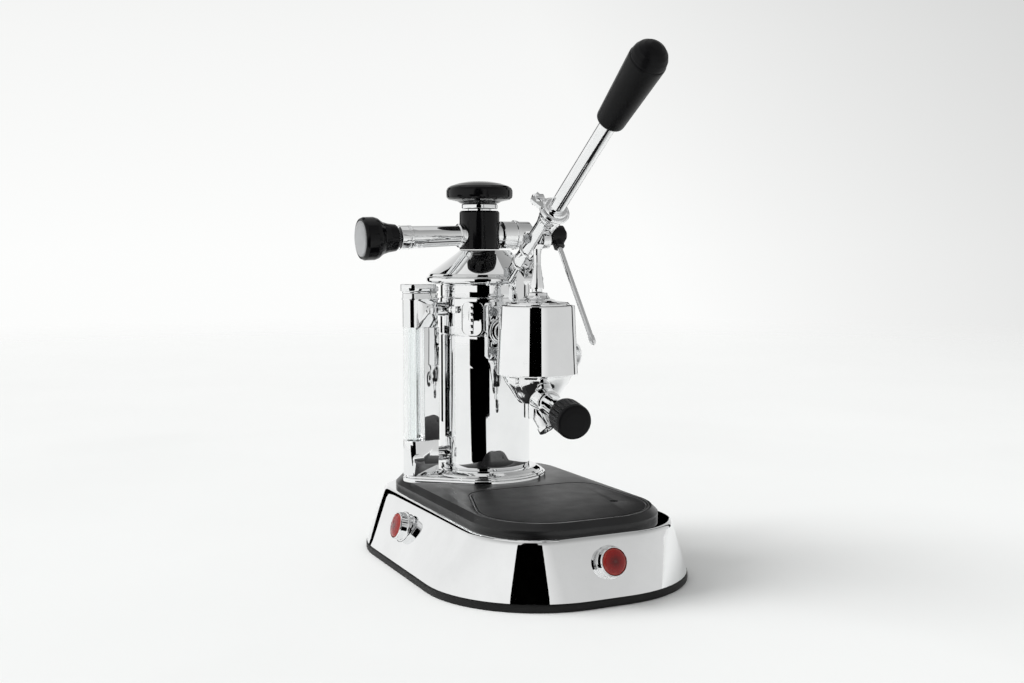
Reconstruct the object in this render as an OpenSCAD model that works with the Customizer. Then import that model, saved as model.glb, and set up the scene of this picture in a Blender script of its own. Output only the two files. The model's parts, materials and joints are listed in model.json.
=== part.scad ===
// Manual lever espresso machine, in millimetres.
// The origin is the middle of the base's underside, +Z is up, the front is -Y and
// +X is to the right of someone standing in front of the machine.

/* [Base] */
// half of the base's width at the bottom of the chrome housing
base_half_w = 103.5; // [95:0.5:110]
// half of the base's depth at the bottom of the chrome housing
base_half_d = 148; // [140:1:160]
// half of the housing's width at its top face
top_half_w = 80; // [78:0.5:88]
// half of the housing's depth at its top face
top_half_d = 135.5; // [133:0.5:140]
// height of the chrome housing's top face
base_top = 48; // [46:0.5:50]
// corner radius at the bottom of the housing
bottom_corner_r = 88; // [70:1:92]
// corner radius at the top of the housing
top_corner_r = 50; // [40:1:60]
// height of the black cover plate's top face
plate_top = 57; // [56:0.5:58]

/* [Boiler] */
// distance of the boiler's axis behind the middle of the base
boiler_y = 67; // [64:0.5:69]
// outer radius of the boiler's jacket
boiler_r = 38; // [32:1:44]
// height of the brim round the boiler's shoulder
brim_z = 219; // [200:1:230]
// sideways offset of the black filler column
filler_x = -4.6; // [-6:0.2:0]
// height of the steam arm and outlet valve
arm_z = 260.5; // [255:0.5:268]
// angle at which the steam arm dips towards its knob
arm_dip = 2; // [0:0.5:4]

/* [Group] */
// distance of the group's axis in front of the middle of the base
group_y = 32; // [31:0.5:33]
// bore radius of the group's cylinder
bore_r = 22.6; // [20:0.1:26]
// turn of the filter holder's handle towards the left
handle_turn = 8; // [0:1:45]
// droop of the filter holder's handle
handle_droop = 7.4; // [0:0.2:15]

/* [Lever] */
// lever angle above the horizontal at rest
lever_angle = 35.5; // [20:0.5:45]
// distance of the lever's fulcrum behind the middle of the base
pivot_y = 5; // [4:0.5:6]
// height of the lever's fulcrum
pivot_z = 230; // [220:1:240]
// distance from the fulcrum to the pin that drives the piston
pin_reach = 45; // [35:0.5:55]

/* [Hidden] */
$fn = 72;
skirt_top = 5.7;
housing_h = base_top - skirt_top;
flank_lean = (base_half_w - top_half_w) / housing_h;
front_lean = (base_half_d - top_half_d) / housing_h;
front_button_z = 29.7;
side_button_z = 30.4;
side_button_tilt = 16;
tray_y = boiler_y - 125.5;
saddle_y = boiler_y - 43;
pin_y = pivot_y - pin_reach * cos(lever_angle);
pin_z = pivot_z + pin_reach * sin(lever_angle);

// ---------- shared shapes ----------

// flat outline with round corners, centred on the origin
module round_rect(w, d, r) {
  union() {
    square([2 * w, 2 * (d - r)], center = true);
    square([2 * (w - r), 2 * d], center = true);
    for (sx = [-1, 1], sy = [-1, 1])
      translate([sx * (w - r), sy * (d - r)]) circle(r = r);
  }
}

// block that tapers upwards like the housing, set in from it by an even distance
module tapered_block(inset, z0, z1) {
  hull() for (z = [z0, z1 - 0.01]) {
    up = (z - skirt_top) / housing_h;
    translate([0, 0, z]) linear_extrude(0.01) round_rect(
      base_half_w + (top_half_w - base_half_w) * up - inset,
      base_half_d + (top_half_d - base_half_d) * up - inset,
      bottom_corner_r + (top_corner_r - bottom_corner_r) * up - inset);
  }
}

module wall_along_y(w, h, a, reach) {
  rotate([90, 0, 0]) translate([0, 0, -reach]) linear_extrude(2 * reach)
    polygon([[-w, 0], [w, 0], [w - a * h, h], [-w + a * h, h]]);
}

module wall_along_x(d, h, b, reach) {
  rotate([90, 0, 90]) translate([0, 0, -reach]) linear_extrude(2 * reach)
    polygon([[-d, 0], [d, 0], [d - b * h, h], [-d + b * h, h]]);
}

// slab with round corners whose edge leans in at 45 degrees all round
module bevelled_slab(w, d, h, r) {
  union() {
    intersection() {
      wall_along_y(w, h, 1, d - r);
      wall_along_x(d, h, 1, w + 5);
    }
    intersection() {
      wall_along_y(w, h, 1, d + 5);
      wall_along_x(d, h, 1, w - r);
    }
    for (sx = [-1, 1], sy = [-1, 1])
      translate([sx * (w - r), sy * (d - r), 0]) cylinder(r1 = r, r2 = r - h, h = h);
  }
}

// ring or tube standing on z = 0
module tube(ro, ri, h) {
  difference() {
    cylinder(r = ro, h = h);
    translate([0, 0, -1]) cylinder(r = ri, h = h + 2);
  }
}

// frames: children are drawn round the boiler's axis, the group's axis, the arms' axis
// (+Z towards -X or +X), the lever's axis and the filter holder's handle
module at_boiler() { translate([0, boiler_y, 0]) children(); }
module at_filler() { translate([filler_x, boiler_y, 0]) children(); }
module at_group() { translate([0, -group_y, 0]) children(); }
module along_left() { translate([0, boiler_y, arm_z]) rotate([0, -90 - arm_dip, 0]) children(); }
module along_right() { translate([0, boiler_y, arm_z]) rotate([0, 90, 0]) children(); }
module at_lever() {
  translate([0, pivot_y, pivot_z]) rotate([90 - lever_angle, 0, 0]) children();
}
module at_handle() {
  translate([0, -group_y, 137]) rotate([0, 0, -handle_turn]) rotate([90 + handle_droop, 0, 0])
    children();
}
module at_front_button() {
  translate([2.5, front_lean * (front_button_z - skirt_top) - base_half_d, front_button_z])
    rotate([90 - atan(front_lean), 0, 0]) children();
}
module at_side_button() {
  translate([flank_lean * (side_button_z - skirt_top) - base_half_w - 1.1, 19, side_button_z])
    rotate([0, side_button_tilt - 90, 0]) children();
}

// ---------- base ----------

module base_rim() color("black") difference() {
  linear_extrude(5.6) round_rect(base_half_w + 0.5, base_half_d + 0.5, bottom_corner_r + 0.5);
  translate([0, 0, -1]) linear_extrude(8)
    round_rect(base_half_w - 5, base_half_d - 5, bottom_corner_r - 5);
  translate([0, 0, 4.6]) linear_extrude(2)
    round_rect(base_half_w - 3, base_half_d - 3, bottom_corner_r - 3);
}

module bottom_plate() color("dimgray") difference() {
  union() {
    linear_extrude(1.5) round_rect(base_half_w - 5.2, base_half_d - 5.2, bottom_corner_r - 5.2);
    for (sx = [-1, 1], sy = [-1, 1]) translate([sx * 55, sy * 100, 1]) cylinder(r = 5, h = 44);
  }
  for (i = [-3:3]) translate([i * 9, -40, -1]) slot_cutter(30, 1.5);
}

module slot_cutter(len, r) {
  union() {
    translate([-r, -len / 2, 0]) cube([2 * r, len, 6]);
    for (s = [-1, 1]) translate([0, s * len / 2, 0]) cylinder(r = r, h = 6);
  }
}

module base_housing() color("silver") difference() {
  tapered_block(0, skirt_top, base_top);
  tapered_block(1.5, skirt_top - 2, base_top - 1.6);
  at_boiler() translate([0, 0, base_top - 4]) cylinder(r = 45, h = 8);
  at_front_button() translate([0, 0, -12]) cylinder(r = 10.6, h = 30);
  at_side_button() translate([0, 0, -12]) cylinder(r = 10.6, h = 30);
  at_side_button() translate([0, 0, -0.3]) cylinder(r = 12.2, h = 30);
  translate([0, base_half_d + 4, 22]) rotate([90, 0, 0]) cylinder(r = 6.2, h = 20);
}

// black moulded cover on the base, with a well for the tray
module top_plate() color([0.12, 0.12, 0.13]) difference() {
  union() {
    translate([0, 0, base_top]) linear_extrude(plate_top - base_top - 4.5)
      round_rect(74.5, 129.5, 56);
    translate([0, 0, plate_top - 4.6]) bevelled_slab(74.5, 129.5, 4.6, 56);
  }
  translate([0, tray_y, base_top + 2]) linear_extrude(20) tray_outline(0);
  at_boiler() translate([0, 0, base_top - 2]) cylinder(r = 45, h = 20);
}

// follows the cover plate's rounded front and narrows towards the boiler
module tray_outline(inset) hull() {
  for (x = [-18, 18]) translate([x, -16]) circle(r = 49 - inset, $fn = 64);
  translate([-28, 40.5]) circle(r = 22 - inset, $fn = 48);
  translate([43, 40.5]) circle(r = 22 - inset, $fn = 48);
}

module drip_tray() color([0.15, 0.15, 0.16]) difference() {
  translate([0, tray_y, base_top + 2.2]) linear_extrude(6.6) tray_outline(0.5);
  translate([0, tray_y, base_top + 3.8]) linear_extrude(20) tray_outline(2.2);
}

module drip_cover() color([0.1, 0.1, 0.1]) translate([0, tray_y, 0]) difference() {
  union() {
    translate([0, 0, plate_top - 3]) linear_extrude(3) tray_outline(2.6);
    for (sx = [-1, 1], y = [-37, 37]) translate([sx * 36, y, base_top + 3.9]) cylinder(r = 3, h = 4);
  }
  translate([44, -17.5, plate_top + 1.6]) sphere(r = 3.6);
  translate([44, -17.5, plate_top - 8]) cylinder(r = 1.6, h = 12);
}

module button_bezels() color("silver") {
  at_front_button() button_bezel();
  at_side_button() button_bezel();
}

module button_bezel() {
  difference() {
    union() {
      translate([0, 0, -12]) cylinder(r = 10.3, h = 14);
      translate([0, 0, 0.1]) cylinder(r = 11.9, h = 1.7);
      translate([0, 0, 1.6]) cylinder(r = 10.7, h = 5.6);
      translate([0, 0, 7.2]) cylinder(r1 = 10.7, r2 = 10.2, h = 0.6);
    }
    translate([0, 0, -13]) cylinder(r = 9.6, h = 25);
  }
}

module front_button() color("red") at_front_button() button_lens();
module side_button() color("red") at_side_button() button_lens();

module button_lens() {
  rotate_extrude() polygon([[0, -4], [9.4, -4], [9.4, 6.8], [8.8, 7.6], [6.4, 8.6], [3.2, 9.1], [0, 9.2]]);
}

module switch_bodies() color([0.2, 0.2, 0.2]) {
  at_front_button() switch_body();
  at_side_button() switch_body();
}

module switch_body() {
  difference() {
    translate([0, 0, -26]) cylinder(r = 9.5, h = 18.5);
    translate([0, 0, -9]) cylinder(r = 7, h = 3);
  }
  for (s = [-1, 1]) translate([s * 4 - 2.4, -0.4, -31]) cube([4.8, 0.8, 5.5]);
}

module cord_gland() color([0.08, 0.08, 0.08])
  translate([0, base_half_d + 1, 22]) rotate([90, 0, 0]) difference() {
    union() {
      translate([0, 0, -4]) cylinder(r1 = 5.5, r2 = 8.5, h = 4);
      cylinder(r = 8.5, h = 2.8);
      cylinder(r = 6, h = 14.5);
      translate([0, 0, 10.6]) cylinder(r = 8, h = 4);
    }
    translate([0, 0, -6]) cylinder(r = 3.6, h = 24);
  }

module pressure_switch() color("goldenrod") translate([40, -70, 1.6]) {
  cylinder(r = 17, h = 14);
  translate([0, 0, 14]) cylinder(r = 13, h = 9);
  translate([0, 0, 23]) cylinder(r = 4, h = 7);
}

// ---------- boiler ----------

module boiler_foot() color("silver") difference() {
  union() {
    translate([0, 0, plate_top]) linear_extrude(3.5) foot_outline(51.5, 15);
    translate([0, 0, plate_top + 3.5]) linear_extrude(1.6) foot_outline(49.5, 13);
    at_boiler() rotate_extrude()
      polygon([[35.3, 60], [47, 60], [46.4, 63], [43.5, 65.4], [41.2, 66], [35.3, 66]]);
  }
  at_boiler() translate([0, 0, 50]) cylinder(r = 35.3, h = 30);
}

// round boiler seat drawn out to the smaller seat under the sight glass
module foot_outline(r1, r2) translate([0, boiler_y]) hull() {
  circle(r = r1, $fn = 64);
  translate([-58, 0]) circle(r = r2, $fn = 48);
}

module boiler_vessel() color("goldenrod") at_boiler() difference() {
  union() {
    translate([0, 0, 52]) cylinder(r = 35, h = 170);
    translate([0, 0, 50]) cylinder(r = 41, h = 3);
    translate([0, 0, 222]) cylinder(r1 = 35, r2 = 13, h = 18);
    translate([0, 0, 240]) cylinder(r = 13, h = 6);
  }
  translate([0, 0, 49]) cylinder(r = 33, h = 173);
  translate([0, 0, 222]) cylinder(r1 = 33, r2 = 10.6, h = 18);
  translate([0, 0, 239]) cylinder(r = 10.6, h = 8);
}

module boiler_jacket() color("silver") at_boiler() {
  translate([0, 0, 66.1]) tube(boiler_r, 35.4, 111.7);
  translate([0, 0, 178.1]) tube(boiler_r + 0.4, 35.4, 30.6);
  translate([0, 0, 209]) tube(boiler_r, 35.4, 9.9);
}

module boiler_brim() color("silver") at_boiler() rotate_extrude()
  translate([0, brim_z]) polygon([[35.4, 0], [40.5, 0], [42.5, 0.6], [48, 1.4], [49.2, 2.4], [49.6, 3.6],
    [49.6, 5.6], [49, 6.6], [48, 7], [37.2, 7], [37.2, 3], [35.4, 3]]);

module boiler_dome() color("silver") at_boiler() rotate_extrude()
  polygon([[46.6, 226.1], [47.8, 226.1], [47, 228.2], [21.5, 247], [20.6, 247.6], [13.4, 247.6],
    [13.4, 246.2], [20.3, 246.2], [45.6, 227.6]]);

module element_plate() color("gray") at_boiler() difference() {
  translate([0, 0, 45.4]) cylinder(r = 41, h = 3);
  for (a = [45:90:315]) rotate([0, 0, a]) translate([37.6, 0, 40]) cylinder(r = 2.1, h = 12);
  for (s = [-1, 1]) translate([s * 8, 0, 40]) cylinder(r = 4.2, h = 12);
}

module heating_element() color("dimgray") at_boiler() {
  for (z = [66, 78, 90]) translate([0, 0, z]) rotate_extrude() translate([17, 0]) circle(r = 4);
  for (s = [-1, 1]) translate([s * 8, 0, 38]) cylinder(r = 4, h = 20);
  for (s = [-1, 1]) translate([s * 17, 0, 58]) cylinder(r = 3.2, h = 36);
  translate([0, 0, 58]) rotate([0, 90, 0]) cylinder(r = 3.9, h = 36, center = true);
}

module element_gasket() color("black") at_boiler() translate([0, 0, 48.5]) tube(40.8, 33.4, 1.4);

// ---------- filler, steam arm and outlet ----------

module manifold() color([0.08, 0.08, 0.08]) difference() {
  at_filler() {
    translate([0, 0, 248.2]) cylinder(r = 16.8, h = 30.8);
    translate([0, 0, 279]) cylinder(r1 = 16.8, r2 = 15.8, h = 1.4);
  }
  at_filler() translate([0, 0, 240]) cylinder(r = 10.4, h = 50);
  along_left() cylinder(r = 9.3, h = 30);
  along_right() cylinder(r = 9.3, h = 30);
}

module filler_plug() color("silver") at_filler() rotate_extrude()
  polygon([[0, 271], [9.9, 271], [9.9, 281.8], [14.6, 281.8], [15.2, 282.6], [15.2, 285.4],
    [14.4, 286.4], [5, 286.4], [5, 296], [0, 296]]);

module filler_seal() color("black") at_filler() translate([0, 0, 268.6]) tube(9.6, 5, 2.3);

module filler_cap() color([0.06, 0.06, 0.06]) at_filler() rotate_extrude()
  polygon([[5.1, 286.6], [15.6, 286.6], [18.2, 288], [26.2, 290], [27.5, 291.4], [27.8, 293],
    [27.8, 297.4], [27, 299.2], [24.6, 301], [18, 303.2], [10, 304.6], [0, 305.2], [0, 296.2],
    [5.1, 296.2]]);

module steam_arm() color("silver") difference() {
  along_left() union() {
    translate([0, 0, 14.8]) cylinder(r = 9, h = 7.4);
    translate([0, 0, 21.8]) cylinder(r = 10, h = 2.4);
    translate([0, 0, 24]) cylinder(r1 = 8.3, r2 = 9.3, h = 44);
    translate([0, 0, 66]) cylinder(r = 9.9, h = 2.5);
    translate([0, 0, 69.5]) cylinder(r = 9.9, h = 6.8);
    translate([0, 0, 68]) cylinder(r = 9.2, h = 2);
  }
  along_left() translate([0, 0, 9]) cylinder(r = 6, h = 56);
  along_left() cylinder(r = 3.06, h = 90);
}

module steam_spindle() color("gray") along_left() union() {
  translate([0, 0, 12]) cylinder(r1 = 1, r2 = 4.6, h = 8);
  translate([0, 0, 20]) cylinder(r = 4.6, h = 8);
  translate([0, 0, 27]) cylinder(r = 3, h = 72);
}

// flared knob with eight flutes
module steam_knob() color([0.06, 0.06, 0.06]) along_left() difference() {
  rotate_extrude() polygon([[3.05, 78.6], [10, 78.6], [11, 79.6], [11.8, 86], [13.4, 91], [16.6, 95.4],
    [17.5, 98], [17.5, 106], [16.6, 108.4], [14.9, 109], [14.9, 107.2], [3.05, 107.2]]);
  for (a = [22.5:45:360]) rotate([0, 0, a]) translate([21.6, 0, 84]) rotate([0, 7, 0])
    cylinder(r = 5, h = 30);
}

module steam_knob_disc() color([0.6, 0.6, 0.6]) along_left() rotate_extrude()
  polygon([[0, 107.3], [14.7, 107.3], [14.7, 108.9], [14, 109.6], [0, 109.6]]);

module outlet_valve() color("silver") difference() {
  along_right() union() {
    translate([0, 0, 8]) cylinder(r = 9, h = 8);
    translate([0, 0, 14.4]) cylinder(r = 11.6, h = 25.8);
    translate([0, 0, 26.6]) cylinder(r = 12.5, h = 2.4);
    translate([0, 0, 40.2]) cylinder(r1 = 11.6, r2 = 7, h = 4);
    translate([0, 0, 44]) cylinder(r = 5.4, h = 16);
    translate([0, 0, 59.9]) cylinder(r = 3.5, h = 12);
  }
  along_right() translate([0, 0, 9]) cylinder(r = 2, h = 56);
}

module wand_nut() color([0.05, 0.05, 0.05]) difference() {
  translate([67, boiler_y, arm_z]) union() {
    rotate([0, 90, 0]) cylinder(r = 8.6, h = 12, center = true);
    rotate([0, 90, 0]) translate([0, 0, 5.9]) cylinder(r1 = 8.6, r2 = 5, h = 3);
    wand_frame() translate([0, 0, 4]) cylinder(r = 4.8, h = 9);
  }
  along_right() translate([0, 0, 58]) cylinder(r = 3.57, h = 14.6);
  translate([67, boiler_y, arm_z]) wand_frame() translate([0, 0, 3]) cylinder(r = 2.3, h = 12);
}

// +Z runs down the steam wand from the nut's centre
module wand_frame() { rotate([90 + 52.5, 0, 0]) children(); }

module steam_wand() color("silver") translate([67, boiler_y, arm_z]) wand_frame() difference() {
  translate([0, 0, 5]) cylinder(r = 2.25, h = 100);
  translate([0, 0, 4]) cylinder(r = 1.3, h = 102);
}

module wand_tip() color("silver") translate([67, boiler_y, arm_z]) wand_frame() difference() {
  translate([0, 0, 105.1]) union() {
    cylinder(r = 2.7, h = 5.5);
    translate([0, 0, 5.5]) cylinder(r1 = 2.7, r2 = 1.4, h = 2.6);
  }
  translate([0, 0, 104]) cylinder(r = 0.7, h = 12);
}

// ---------- sight glass ----------

glass_x = -64;

module block_outline(w0, w1, d) {
  translate([0, boiler_y]) union() {
    translate([glass_x, 0]) circle(r = d);
    translate([glass_x, -d]) square([w1 - glass_x, 2 * d]);
  }
}

module gauge_upper_block() color("silver") difference() {
  union() {
    translate([0, 0, 184.6]) linear_extrude(27.8) block_outline(glass_x, -46, 9);
    translate([0, 0, 207]) linear_extrude(1.5) block_outline(glass_x, -45.4, 9.7);
    translate([-47, boiler_y, 199]) rotate([0, 90, 0]) cylinder(r = 6, h = 9);
    translate([-53, boiler_y - 8, 199]) rotate([90, 0, 0]) cylinder(r = 3.6, h = 3.4);
  }
  translate([glass_x, boiler_y, 180]) cylinder(r = 6.3, h = 22);
  translate([-58, boiler_y, 199]) rotate([0, 90, 0]) cylinder(r = 2, h = 30);
  translate([-51.5, boiler_y, 180]) cylinder(r = 2.6, h = 12);
  at_boiler() translate([0, 0, 180]) cylinder(r = boiler_r + 0.45, h = 40);
}

module gauge_lower_block() color("silver") difference() {
  union() {
    translate([0, 0, 62.3]) linear_extrude(28.4) block_outline(glass_x, -46, 9);
    translate([-47, boiler_y, 78]) rotate([0, 90, 0]) cylinder(r = 6, h = 9);
    translate([glass_x, boiler_y - 8, 76]) rotate([90, 0, 0]) cylinder(r = 4.4, h = 3.6);
  }
  translate([glass_x, boiler_y, 74]) cylinder(r = 6.3, h = 22);
  translate([-58, boiler_y, 78]) rotate([0, 90, 0]) cylinder(r = 2, h = 30);
  translate([-51.5, boiler_y, 84]) cylinder(r = 2.6, h = 12);
  at_boiler() translate([0, 0, 66]) cylinder(r = boiler_r + 0.05, h = 40);
  at_boiler() translate([0, 0, 58]) cylinder(r = 47.05, h = 8.05);
}

module gauge_cap() color("silver") difference() {
  union() {
    translate([0, 0, 212.5]) linear_extrude(1.6) block_outline(glass_x, -47, 9.4);
    translate([0, 0, 214.1]) linear_extrude(6) block_outline(glass_x, -46, 10.6);
  }
  at_boiler() translate([0, 0, 218]) cylinder(r = 48.9, h = 10);
}

module gauge_glass() color([0.8, 0.9, 0.9, 0.5]) translate([glass_x, boiler_y, 76]) tube(5, 3.6, 123);

module gauge_shield() color([0.9, 0.95, 0.95, 0.4]) translate([glass_x, boiler_y, 90.8]) difference() {
  union() {
    tube(8.4, 7.2, 93.7);
    for (a = [90:20:270]) rotate([0, 0, a]) translate([8.2, 0, 0]) cylinder(r = 0.7, h = 93.7);
  }
  translate([2.5, -12, -1]) cube([12, 24, 96]);
}

module gauge_guard() color("silver") difference() {
  translate([-58.2, boiler_y - 8.6, 90.8]) cube([13.4, 17.2, 93.7]);
  translate([glass_x, boiler_y, 90]) cylinder(r = 8.9, h = 96);
  translate([-53.2, boiler_y - 7.2, 90]) cube([12, 14.4, 96]);
}

module gauge_seals() color("black") for (z = [85, 186])
  translate([glass_x, boiler_y, z]) tube(6.2, 5.05, 3);

// clamp strap from the sight glass round the jacket, closed by a small bolt
module gauge_strap() color("silver") at_boiler() {
  intersection() {
    translate([0, 0, 197]) tube(39.8, 38.45, 4.4);
    linear_extrude(240) polygon([[0, 0], 60 * left_of_front(57), 60 * left_of_front(80.5)]);
  }
  rotate([0, 0, -57]) {
    translate([-3.4, -43.6, 196.4]) cube([3.4, 5, 5.6]);
    translate([-5.4, -41.8, 199.2]) rotate([0, 90, 0]) cylinder(r = 1.5, h = 7);
    translate([-6.6, -41.8, 199.2]) rotate([0, 90, 0]) cylinder(r = 2.6, h = 2, $fn = 6);
  }
}

// unit vector at an angle from the front (-Y) towards the left (-X)
function left_of_front(a) = [-sin(a), -cos(a)];

// plain rounded plaque on the jacket, with a raised rim and a row of studs
module badge() color("silver") at_boiler() intersection() {
  union() {
    translate([0, 0, 170]) tube(39.9, 38.45, 44);
    intersection() {
      translate([0, 0, 170]) tube(40.8, 39.5, 44);
      along_badge() difference() {
        plaque(9.7, 14.6);
        translate([0, 0, -1]) linear_extrude(33) round_rect(8.3, 13.2, 5.4);
      }
    }
    for (z = [182:5:202]) rotate([0, 0, -39.5]) translate([0, -39.2, z])
      rotate([90, 0, 0]) cylinder(r = 1.6, h = 1.5);
  }
  along_badge() plaque(9.7, 14.6);
}

module along_badge() { rotate([0, 0, -39.5]) translate([0, -20, 192]) rotate([90, 0, 0]) children(); }

module plaque(w, h) { linear_extrude(30) round_rect(w, h, w * 0.7); }

// ---------- group ----------

module group_saddle() color("silver") difference() {
  translate([0, saddle_y, 0]) union() {
    translate([-16, 0, 162]) cube([32, 22, 40]);
    translate([-12, 0, 158]) cube([24, 22, 48]);
    for (x = [-12, 12], z = [162, 202]) translate([x, 0, z]) rotate([-90, 0, 0]) cylinder(r = 4, h = 22);
  }
  at_boiler() translate([0, 0, 150]) cylinder(r = boiler_r + 0.5, h = 70);
  translate([0, saddle_y - 5, 182]) rotate([-90, 0, 0]) cylinder(r = 6.2, h = 40);
}

module saddle_bolts() color("gray") for (x = [-11.8, 11.8], z = [166, 198])
  translate([x, saddle_y - 0.05, z]) rotate([90, 0, 0]) difference() {
    cylinder(r = 3.2, h = 3);
    translate([0, 0, 1.4]) cylinder(r = 1.6, h = 3, $fn = 6);
  }

module group_head() color("silver") difference() {
  union() {
    at_group() translate([0, 0, 158.8]) cylinder(r = 25, h = 46.2);
    at_group() translate([0, 0, 162.6]) cylinder(r = 28.6, h = 3.4);
    translate([-8.2, -11, 169]) cube([16.4, saddle_y + 10.9, 26]);
    translate([0, saddle_y - 0.1, 182]) rotate([90, 0, 0]) cylinder(r = 13, h = 9);
    translate([0, saddle_y - 0.1, 182]) rotate([90, 0, 0]) cylinder(r = 11, h = 34);
    translate([-3.2, pivot_y - 6.6, 185]) cube([6.4, 14, pivot_z - 185]);
    translate([-8, pivot_y - 6.6, 185]) cube([16, 14, 19]);
    translate([-3.2, pivot_y, pivot_z]) rotate([0, 90, 0]) cylinder(r = 6.6, h = 6.4);
  }
  at_group() translate([0, 0, 150]) cylinder(r = bore_r, h = 60);
  translate([0, saddle_y + 5, 182]) rotate([90, 0, 0]) cylinder(r = 5.5, h = 50);
  translate([-5, pivot_y, pivot_z]) rotate([0, 90, 0]) cylinder(r = 2.56, h = 10);
}

module group_cap() color("silver") at_group() rotate_extrude()
  polygon([[5.7, 205.1], [25, 205.1], [25, 206.8], [23.6, 208], [15, 209.4], [10, 211], [8.4, 213],
    [8, 215.2], [5.7, 215.2]]);

// polished bell round the cylinder, open at the top, with a window for the group's neck
module group_bell() color("silver") difference() {
  union() {
    at_group() rotate_extrude()
      polygon([[29.8, 152.2], [31.3, 152.2], [31.5, 153], [31.3, 155], [29.1, 205], [28.8, 205.6],
        [28, 205.6], [27.6, 205]]);
    translate([26, -group_y - 6, 166]) rotate([90, 0, 24]) difference() {
      translate([0, 0, -3.5]) cylinder(r = 10.5, h = 7);
      translate([0, 0, 2.6]) cylinder(r = 8, h = 3);
    }
  }
  at_group() translate([0, 0, 140]) cylinder(r1 = 30.3, r2 = 27.5, h = 68);
  translate([-14, -group_y + 19, 167.8]) cube([28, 30, 28.4]);
}

module group_gasket() color("black") at_group() translate([0, 0, 158.8]) tube(28.4, 25.1, 3.7);

module shower_screen() color("gainsboro") at_group() difference() {
  translate([0, 0, 157.4]) cylinder(r = 22.9, h = 1.2);
  for (ring = [[6, 6], [11, 12], [16, 18]], i = [0:ring[1] - 1])
    rotate([0, 0, i * 360 / ring[1]]) translate([ring[0], 0, 150]) cylinder(r = 1, h = 12);
}

module piston() color("goldenrod") at_group() difference() {
  union() {
    translate([0, 0, 190.6]) cylinder(r = 22.2, h = 6.6);
    translate([0, 0, 196]) cylinder(r = 7, h = 1.6);
  }
  for (z = [191.4, 194.6]) translate([0, 0, z]) tube(30, 20.4, 1.8);
  translate([0, 0, 192]) cylinder(r = 2.5, h = 8);
}

module piston_seals() color("black") at_group() for (z = [191.5, 194.7]) translate([0, 0, z])
  tube(bore_r - 0.05, 20.5, 1.6);

// rod whose flat head has a cross slot, so that the pin can swing on its arc
module piston_rod() color("silver") difference() {
  union() {
    at_group() translate([0, 0, 192.1]) cylinder(r = 2.45, h = 8);
    at_group() translate([0, 0, 197.7]) cylinder(r = 4, h = 21);
    at_group() translate([0, 0, 218]) cylinder(r = 5.3, h = 2);
    at_group() translate([0, 0, 220]) cylinder(r1 = 5.3, r2 = 3, h = 16);
    at_group() translate([0, 0, 220]) cylinder(r = 2.9, h = pin_z - 224.8);
    translate([-3, pin_y - 12, pin_z - 7.5]) cube([6, 24, 13.6]);
    for (s = [-1, 1]) translate([-3, pin_y + s * 12, pin_z - 0.7]) rotate([0, 90, 0])
      cylinder(r = 6.8, h = 6);
  }
  translate([-5, pin_y - 8.6, pin_z - 4.1]) cube([10, 17.2, 6.9]);
  for (s = [-1, 1]) translate([-5, pin_y + s * 8.6, pin_z - 0.65]) rotate([0, 90, 0])
    cylinder(r = 3.45, h = 10);
}

// ---------- lever ----------

module lever_fork() color("silver") at_lever() difference() {
  union() {
    translate([0, 0, -7.4]) cylinder(r1 = 6.2, r2 = 7.6, h = 2);
    translate([0, 0, -5.4]) cylinder(r = 7.6, h = 73);
    for (u = [13, 30]) translate([0, 0, u]) cylinder(r = 8.8, h = 2);
    translate([0, 0, 64]) cylinder(r1 = 7.6, r2 = 9.4, h = 10);
    rotate_extrude() polygon([[6.15, 73], [9.4, 73], [10, 76.4], [10.8, 78.6], [11.8, 80],
      [12, 81.2], [11.4, 82], [10.4, 81.8], [9.4, 81], [9.4, 84], [8.4, 85], [6.15, 85]]);
    translate([-10, 8.5, 79.4]) rotate([0, 0, 40]) translate([-5, -6, 0]) cube([10, 12, 3]);
    translate([-13.6, 11, 79.8]) rotate([0, 90, 0]) cylinder(r = 4.4, h = 7);
  }
  translate([-3.5, -20, -20]) cube([7, 40, 87.5]);
  translate([0, 0, 70]) cylinder(r = 6.15, h = 40);
  translate([-20, 0, 0]) rotate([0, 90, 0]) cylinder(r = 2.5, h = 40);
  translate([-20, 0, pin_reach]) rotate([0, 90, 0]) cylinder(r = 2.25, h = 40);
}

module lever_pins() color("gray") at_lever() for (p = [[0, 2.5], [pin_reach, 2.25]])
  translate([0, 0, p[0]]) rotate([0, 90, 0]) {
    cylinder(r = p[1], h = 17.6, center = true);
    for (s = [-1, 1]) translate([0, 0, s * 8.6]) cylinder(r = p[1] + 1.5, h = 1.6, center = true);
  }

module lever_rod() color("silver") at_lever() {
  translate([0, 0, 70.2]) cylinder(r = 6.1, h = 119);
  translate([0, 0, 189.1]) cylinder(r = 4, h = 39);
}

module lever_grip() color([0.07, 0.07, 0.07]) at_lever() difference() {
  rotate_extrude() polygon([[0, 181.4], [9.2, 181.4], [10.1, 181.9], [10.4, 183.2], [13.2, 238.4],
    [13.2, 240], [12.7, 241.1], [12.2, 244.6], [10.6, 248], [7.8, 250.9], [4, 252.8], [0, 253.3]]);
  translate([0, 0, 170]) cylinder(r = 6.12, h = 19.3);
  translate([0, 0, 180]) cylinder(r = 4.02, h = 48.4);
}

// ---------- filter holder ----------

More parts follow.
